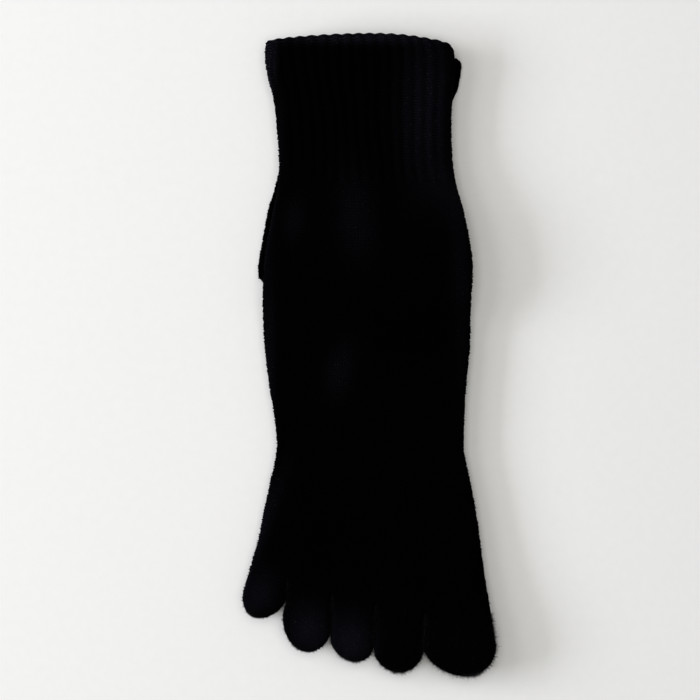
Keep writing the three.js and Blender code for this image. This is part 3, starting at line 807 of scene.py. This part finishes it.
def black_knit(name, rib_rows):
    """The cloth's material, ribbed in so many rows from the rim: near-black cotton, with painted
    shade that makes it darkest between the yarns, paler and violet where painted sheen and
    highlight, with some wear, are laid on, with grey lint, and the stitches as relief."""
    material, tree, shader, place = bare_material(name, KNIT_SURFACE)
    stitches = tree.nodes.new("ShaderNodeUVMap")
    stitches.uv_map = "stitches"
    parts = tree.nodes.new("ShaderNodeSeparateXYZ")
    tree.links.new(stitches.outputs["UV"], parts.inputs["Vector"])
    stitch, row = parts.outputs["X"], parts.outputs["Y"]
    first_ribbed = RIBBED_PER_ROW * rib_rows
    ribbed = wired(tree, "MULTIPLY_ADD", row, -RIBBED_PER_ROW, first_ribbed, clamp=True)
    pattern = tree.nodes.new("ShaderNodeGroup")
    pattern.node_tree = stitch_pattern
    values = {"Stitch": stitch, "Row": row, "Ribbed": ribbed, "Place": place}
    feed(tree, pattern.inputs, values)
    height, yarn, haze, tint = pattern.outputs

    # Painted sheen and highlight, with some wear: the cloth goes paler and violet where this mask
    # is high.
    sheen_and_wear_node = tree.nodes.new("ShaderNodeAttribute")
    sheen_and_wear_node.attribute_name = "sheen_and_wear"
    sheen_and_wear = sheen_and_wear_node.outputs["Fac"]
    tone_sheen_and_wear_share = wired(tree, "MULTIPLY_ADD", tint, TINT_SHARE, sheen_and_wear, clamp=True)
    tone_sheen_and_wear_colour = mixed(tree, "RGBA", tone_sheen_and_wear_share, BLACK_YARN, VIOLET_SHEEN_AND_WEAR)
    # Painted shade: the colour darkens as the yarn's height falls, between the yarns.
    shaded = mixed(tree, "RGBA", yarn, SHADE_BETWEEN_YARNS, tone_sheen_and_wear_colour)
    share = wired(tree, "MULTIPLY_ADD", sheen_and_wear, SHEEN_AND_WEAR_LINT, FRESH_LINT, clamp=True)
    linted = mixed(tree, "RGBA", wired(tree, "MULTIPLY", haze, share), shaded, LINT)
    relief = tree.nodes.new("ShaderNodeBump")
    feed(tree, relief.inputs, {"Distance": STITCH_RELIEF, "Strength": 1.0, "Height": height})
    feed(tree, shader, {"Base Color": linted, "Normal": relief.outputs["Normal"]})
    return material


# Where the cloth is painted paler and more violet: x, y, half length, half width, how much,
# direction.
LOWER_PALE_SPOTS = (
    (-6, 145, 50, 4, 0.7, 0),
    (-30, 116, 24, 12, 0.4, 84),
    (24, 20, 22, 16, 0.3, 60),
    (-20, -60, 30, 12, 0.25, 95),
    (-34, -128, 26, 12, 0.5, -24),
    (40, -140, 18, 12, 0.35, 10),
)
paint_sheen_and_wear(lower_sock, LOWER_PALE_SPOTS)
lower_rib_rows = (LOWER["rim"] - RIB_END) / COURSE
lower_sock.data.materials.append(black_knit("lower_black_knit", lower_rib_rows))
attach(lower_sock, "root")
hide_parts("lower_sock")

# The heel pockets are the turned part of each heel. On a sock that lies with its toes spread, the
# pocket folds flat on the sock's back: two layers joined by a fold, widest along that fold.
HEEL_WALL = 1.1
HEEL_THICKNESS = 2 * HEEL_WALL + CLEARANCE
HEEL_SHORTEST = 1.6  # the run past the fold that is left at both corners
HEEL_CLOSING = 0.985  # the share of its half width past which a pocket's height closes
HEEL_STATIONS = 160  # sections across a pocket, and the points in the parts of each
FOLD_POINTS = 9
RUN_POINTS = 13
END_POINTS = 5
THROAT_POINTS = 5
RUFFLE = 0.25  # how far a pocket's layers wave, how many turns it takes, and where it starts
RUFFLE_TURNS = 9
RUFFLE_START = 1.0
# How much paler the pocket is painted along its fold, and over what width.
FOLD_PALENESS = 0.5
FOLD_PALENESS_WIDTH = 8
PLAIN = -1000.0  # for rib_rows: so that no row counts as ribbed


def flat_top(y):
    """The height of the lower sock's upper face, with its ribs."""
    return 2 * half_thickness(y) + RIB_RELIEF * rib_strength(y)


def heel_section():
    """Half a pocket's section as shares of its run past the fold: the outer face, the fold's
    outer half, the layer's rounded end, and the slot's face, all above its middle height. Gives
    run, height and a weight that says how much the point follows the run."""
    radius, slot = HEEL_THICKNESS / 2, CLEARANCE / 2
    layer = (radius - slot) / 2
    turn = np.linspace(np.pi, np.pi / 2, FOLD_POINTS)
    fold = np.stack([radius * np.cos(turn), radius * np.sin(turn), 0 * turn], axis=1)
    run = np.linspace(0, 1, RUN_POINTS + 1)[1:]
    outer = np.stack([0 * run, np.full(RUN_POINTS, radius), run], axis=1)
    turn = np.linspace(np.pi / 2, -np.pi / 2, END_POINTS + 2)[1:-1]
    end_height = slot + layer + layer * np.sin(turn)
    end = np.stack([layer * np.cos(turn), end_height, np.ones(END_POINTS)], axis=1)
    inner = np.stack([0 * run, np.full(RUN_POINTS, slot), run[::-1]], axis=1)
    turn = np.linspace(np.pi / 2, np.pi, THROAT_POINTS)
    throat = np.stack([slot * np.cos(turn), slot * np.sin(turn), 0 * turn], axis=1)
    return np.concatenate([fold, outer, end, inner, throat])


heel_cloth = black_knit("heel_black_knit", PLAIN)
heel_rest = float(flat_top(POCKET_FOLD)) + CLEARANCE


def heel_pocket(name, middle, fold_y, half_width, deep, bottom):
    """A pocket: the section, and its mirror image below, carried across the sock, with the run
    following half an ellipse and the height closing as a quarter circle at the two corners."""
    q = np.sin(np.linspace(-np.pi / 2, np.pi / 2, HEEL_STATIONS))
    run = np.maximum(deep * np.sqrt(np.maximum(0, 1 - q * q)), HEEL_SHORTEST)
    past = np.clip((np.abs(q) - HEEL_CLOSING) / (1 - HEEL_CLOSING), 0, 1)
    closing = np.sqrt(1 - past**2)
    above = heel_section()
    below = above[::-1] * (1, -1, 1)
    section = np.concatenate([above, below[1:-1]])
    radius = HEEL_THICKNESS / 2
    ruffle = RUFFLE * np.sin(q * RUFFLE_TURNS + RUFFLE_START)[:, None] * section[:, 2]
    x = middle + half_width * q[:, None] + 0 * section[:, 0]
    y = fold_y + radius + section[:, 0] + run[:, None] * section[:, 2] + ruffle
    z = bottom + radius + section[:, 1] * closing[:, None]
    steps = np.hypot(np.diff(section[:, 1]), np.diff(section[:, 2] * deep))
    length = np.concatenate([[0], np.cumsum(steps)])
    wale = np.append(length, length[-1]) / COURSE
    knitting = Knitting()
    knitting.grid(np.stack([x, y, z], axis=2), wale, (x[:, 0] - middle) / COURSE, flip=True)
    piece = knitting.piece(name)
    piece.data.materials.append(heel_cloth)
    paint_sheen_and_wear(piece, ((middle, fold_y, half_width, FOLD_PALENESS_WIDTH, FOLD_PALENESS, 0),))
    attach(piece, "root")
    return piece


lower_heel = heel_pocket(
    "lower_heel_knit", POCKET_MIDDLE, POCKET_FOLD, half_width=49.9, deep=35.0, bottom=heel_rest
)
upper_heel_rest = heel_rest + HEEL_THICKNESS + CLEARANCE
upper_heel = heel_pocket(
    "upper_heel_knit", middle=-0.5, fold_y=39.0, half_width=49.0, deep=34.0, bottom=upper_heel_rest
)
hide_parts("lower_heel")
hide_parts("upper_heel")

# The upper sock is the pair's other one, knitted the same, and lies instep up over the first. It
# rests on the lower sock, rises over the heel pockets, and bears the soft creases of handling.
UPPER_OUTLINE = (
    (-137, -61.4, 60.3),
    (-117.8, -61, 57.2),
    (-103.4, -57.6, 54.9),
    (-89, -53.4, 53.2),
    (-74.6, -50.6, 51.1),
    (-60.2, -47.3, 48.3),
    (-45.8, -44.5, 45.5),
    (-31.4, -45.4, 45.7),
    (-17, -47.8, 46.4),
    (4.6, -50.4, 48.4),
    (26.2, -51.1, 48.7),
    (41.5, -50.4, 49.5),
    (55, -48.6, 47.9),
    (69.4, -45.8, 44.9),
    (81.4, -43.7, 41.7),
    (91, -43.3, 40),
    (110.2, -44.5, 39.3),
    (122.2, -46, 39.8),
    (131.8, -48.4, 40.7),
    (141.4, -50, 41),
    (147.2, -49.8, 39.6),
    (150, -49, 37),
    (156, -44, 33),
)

# How it rises over the pockets: their middle and fold, how far it keeps its height past them, and
# over what length it comes down, in the middle and at the folded edges.
LIFT_MIDDLE = -1.9
LIFT_FOLD = 37.5
LIFT_HALF_WIDTH = 52.0
LIFT_DEEP = 37.0
LIFT_LIP = 14.0
LIFT_HEIGHT = 2 * (HEEL_THICKNESS + CLEARANCE)
LIFT_MARGIN = 2.0
LIFT_SLOPE = 34.0
LIFT_EDGE_SLOPE = 28.0
LIFT_DOME = 1.4

# The soft creases, as on the lower sock.
UPPER_CREASES = (
    (-45.6, 139, 18, 1.2, -1.1, 86),
    (-31, 85, 15, 3, -0.5, 14),
    (27, 87, 13, 3.2, -0.45, -16),
    (-24, 21, 18, 4, -0.5, 9),
    (22, 16, 16, 5.5, -0.2, -7),
    (1, 9, 26, 6, 0.3, 2),
    (-13.9, -7.4, 16, 8, 0.35, 72),
    (-6.7, 66, 11, 8, 0.35, 20),
    (11, -32, 26, 5, -0.35, 84),
    (-27, -56, 24, 4.5, -0.35, 101),
    (30, -64, 22, 5, -0.35, 79),
    (-38.5, -95, 9, 2.2, -0.6, 101),
    (-17.5, -103, 10, 2.4, -0.6, 95),
    (3, -107, 10, 2.2, -0.55, 90),
    (27, -109, 12, 2.8, -0.7, 86),
    (-49, -88, 14, 3, 0.3, 70),
    (43, -100, 16, 6, 0.3, 96),
)


def upper_rest(x, y):
    """What the upper sock rests on: the lower sock, and the pockets' height with a low dome inside
    their outline, which falls smoothly to nothing by the distance past it, sooner at the sides."""
    dx, dy = x - LIFT_MIDDLE, y - LIFT_FOLD
    reach = np.hypot(dx / LIFT_HALF_WIDTH, dy / np.where(dy > 0, LIFT_DEEP, LIFT_LIP))
    beyond = np.hypot(dx, dy) * np.maximum(0, 1 - 1 / np.maximum(reach, TINY))
    side = np.minimum(1, (dx / LIFT_HALF_WIDTH) ** 2)
    slope = LIFT_SLOPE + (LIFT_EDGE_SLOPE - LIFT_SLOPE) * side
    lift = LIFT_HEIGHT * (1 - rise(beyond, LIFT_MARGIN, LIFT_MARGIN + slope))
    lift = lift + LIFT_DOME * np.maximum(0, 1 - reach**2) ** 2
    return flat_top(y) + CLEARANCE + RIB_RELIEF * rib_strength(y) + lift


UPPER = {
    "outline": np.array(UPPER_OUTLINE),
    "rim": RIM_TOP,
    "shift": np.array([0.0, 0.0]),
    "tuck": 0.0,
    "toe_bulge": 0.8,
    "ribbed_underneath": 1.0,
    "crown": 0.6,
    "rests_at": upper_rest,
    "creases": UPPER_CREASES,
}
upper_sock, upper_skin = knit_sock("upper_sock_knit", UPPER)

# The photograph's paler areas: the rim, the cuff's right third, its rolled left edge, the instep's
# swell, and the three small toes. They are painted sheen and highlight where the light catches the
# cloth, with some wear.
UPPER_SHEEN_AND_WEAR = (
    (-5, 152, 46, 3.2, 1.3, 0),
    (27, 118, 36, 12, 0.75, 87),
    (-48, 136, 22, 2.6, 1.5, 86),
    (-47, 80, 30, 3, 0.6, 84),
    (-6.7, 66, 22, 9, 0.42, 95),
    (-36, 64, 10, 5, 0.35, 80),
    (38, 78, 16, 8, 0.5, 120),
    (44, 30, 50, 5, 0.3, 92),
    (-13.9, -7.4, 15, 7, 0.42, 75),
    (-48, -2, 40, 2.5, 0.5, 90),
    (-54, -88, 30, 4, 0.6, 68),
    (-53, -116, 12, 8, 0.7, 68),
    (-29, -133, 12, 9, 0.98, 84),
    (-8, -138, 12, 9, 1.05, 88),
    (44, -140, 18, 14, 0.1, 10),
)
paint_sheen_and_wear(upper_sock, UPPER_SHEEN_AND_WEAR)
upper_rib_rows = (UPPER["rim"] - RIB_END) / COURSE
upper_sock.data.materials.append(black_knit("upper_black_knit", upper_rib_rows))
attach(upper_sock, "root")
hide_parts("upper_sock")

# Wear and washing have raised the yarn's ends into a short fuzz all over both socks. It shows most
# along the folded edges and on the toes, as fine bent hairs of cotton.
HAIR_RINGS = 3
HAIR_SIDES = 3
HAIR_SHORTEST = 0.2  # as a share of the longest
HAIR_SHORTNESS = 1.5  # over 1, more of the hairs are short
HAIR_LEAN = 0.55
HAIR_TAPER = 0.8
HAIR_SUNK = 0.1
HAIR_LOWEST = 0.02  # how far it keeps off the floor
EDGE_ROWS = 2  # left out at both ends of a grid
FACING_DOWN = -0.3
FUZZ_HAIR = {"longest": 1.2, "width": 0.17, "curl": 0.6}
FUZZ_DARK = (0.002, 0.002, 0.0024, 1)
FUZZ_LIGHT = (0.011, 0.011, 0.013, 1)
CHANCE_FLAT = 0.06  # how likely a hair is on a flat face, and how much more so on a fold
CHANCE_FOLD = 2.4
CHANCE_POWER = 3
CHANCE_TOES = 1.5  # and once more so on the toes, which lie below TOES_FROM
TOES_FROM = -104
COTTON_NOISE = 700  # per metre
COTTON_SURFACE = {"Roughness": 0.9, "Specular IOR Level": 0.05}


def outer_places(skin):
    """All points of a skin's grids that don't face down, with their directions outward: the
    cross product of the way to the next row and the way to the next stitch."""
    places, directions = [], []
    for grid in skin:
        next_stitch = np.roll(grid, -1, axis=1) - np.roll(grid, 1, axis=1)
        outward = np.cross(np.gradient(grid, axis=0), next_stitch)[EDGE_ROWS:-EDGE_ROWS]
        outward /= np.maximum(np.linalg.norm(outward, axis=2, keepdims=True), TINY)
        open_side = outward[..., 2] > FACING_DOWN
        places.append(grid[EDGE_ROWS:-EDGE_ROWS][open_side])
        directions.append(outward[open_side])
    return np.concatenate(places), np.concatenate(directions)


def hairs(name, roots, outward, longest, width, curl, seed):
    """Tapered hairs as bent tubes: at s from the root to the end, the middle is at the root plus
    the length times (s lean + s^2 curl), and the tube gets thinner in step with s."""
    random = np.random.default_rng(seed)
    count = len(roots)
    length = longest * random.uniform(HAIR_SHORTEST, 1, (count, 1, 1)) ** HAIR_SHORTNESS
    lean = outward + random.normal(0, HAIR_LEAN, (count, 3))
    lean /= np.linalg.norm(lean, axis=1, keepdims=True)
    bend = random.normal(0, curl, (count, 3))
    s = np.linspace(0, 1, HAIR_RINGS)[None, :, None]
    root = (roots - HAIR_SUNK * outward)[:, None]
    middle = root + length * (s * lean[:, None] + s**2 * bend[:, None])
    side = np.cross(lean, random.normal(0, 1, (count, 3)))
    side /= np.maximum(np.linalg.norm(side, axis=1, keepdims=True), TINY)
    over = np.cross(lean, side)
    turn = 2 * np.pi * np.arange(HAIR_SIDES) / HAIR_SIDES
    turn = turn[None, :, None]
    ring = side[:, None] * np.cos(turn) + over[:, None] * np.sin(turn)
    points = middle[:, :, None] + (width / 2 * (1 - HAIR_TAPER * s))[..., None] * ring[:, None]
    points[..., 2] = np.maximum(points[..., 2], HAIR_LOWEST)

    row, corner = np.meshgrid(np.arange(HAIR_RINGS - 1), np.arange(HAIR_SIDES), indexing="ij")
    row, corner = row.ravel() * HAIR_SIDES, corner.ravel()
    after = (corner + 1) % HAIR_SIDES
    next_row = row + HAIR_SIDES
    wall = np.stack([row + corner, row + after, next_row + after, next_row + corner], axis=1)
    start = np.arange(HAIR_SIDES)[::-1][None]
    end = np.arange(HAIR_SIDES)[None] + (HAIR_RINGS - 1) * HAIR_SIDES
    step = (np.arange(count) * HAIR_RINGS * HAIR_SIDES)[:, None, None]
    faces = [
        face
        for part in (wall, start, end)
        for face in (part[None] + step).reshape(-1, part.shape[1]).tolist()
    ]
    mesh = bpy.data.meshes.new(name)
    mesh.from_pydata(points.reshape(-1, 3) * MM + FRAME_SHIFT, [], faces)
    piece = placed(name, mesh)
    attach(piece, "root")
    return piece


def cotton_hair(name, dark, light):
    """A material for loose cotton: between two greys, by a fine noise."""
    material, tree, shader, place = bare_material(name, COTTON_SURFACE)
    grey = mixed(tree, "RGBA", soft_noise(tree, place, COTTON_NOISE), dark, light)
    feed(tree, shader, {"Base Color": grey})
    return material


# Each fuzz: name, the sock's skin, how many hairs, seed.
FUZZES = (("upper_fuzz", upper_skin, 13500, 3), ("lower_fuzz", lower_skin, 5000, 5))
fuzz_cotton = cotton_hair("black_fuzz", FUZZ_DARK, FUZZ_LIGHT)
for name, skin, count, seed in FUZZES:
    places, outward = outer_places(skin)
    level = np.hypot(outward[:, 0], outward[:, 1])
    on_toes = places[:, 1] < TOES_FROM
    chance = CHANCE_FLAT + CHANCE_FOLD * level**CHANCE_POWER * (1 + CHANCE_TOES * on_toes)
    chosen = np.random.default_rng(seed).choice(len(places), count, p=chance / chance.sum())
    fuzz = hairs(name, places[chosen], outward[chosen], seed=seed, **FUZZ_HAIR)
    fuzz.data.materials.append(fuzz_cotton)

# A few pale curls of lint from other laundry lie on the upper sock, where the photograph shows
# specks. Each is one longer hair on the nearest point of the cloth that faces up.
SPECKS = np.array([(379, 91), (355, 228), (406, 435), (447, 468), (486, 635)])  # in pixels
SPECK_FACING_UP = 0.5
LINT_HAIR = {"longest": 1.6, "width": 0.16, "curl": 1.2, "seed": 11}
LINT_DARK = (0.02, 0.02, 0.024, 1)
LINT_LIGHT = (0.07, 0.07, 0.08, 1)

places, outward = outer_places(upper_skin)
on_top = outward[:, 2] > SPECK_FACING_UP
places, outward = places[on_top], outward[on_top]
speck_at = (SPECKS - PAIR_AT) * (PIXEL / MM, -PIXEL / MM)
distance = np.linalg.norm(places[:, None, :2] - speck_at[None], axis=2)
near = distance.argmin(axis=0)
lint = hairs("lint_specks", places[near], outward[near], **LINT_HAIR)
lint.data.materials.append(cotton_hair("pale_lint", LINT_DARK, LINT_LIGHT))
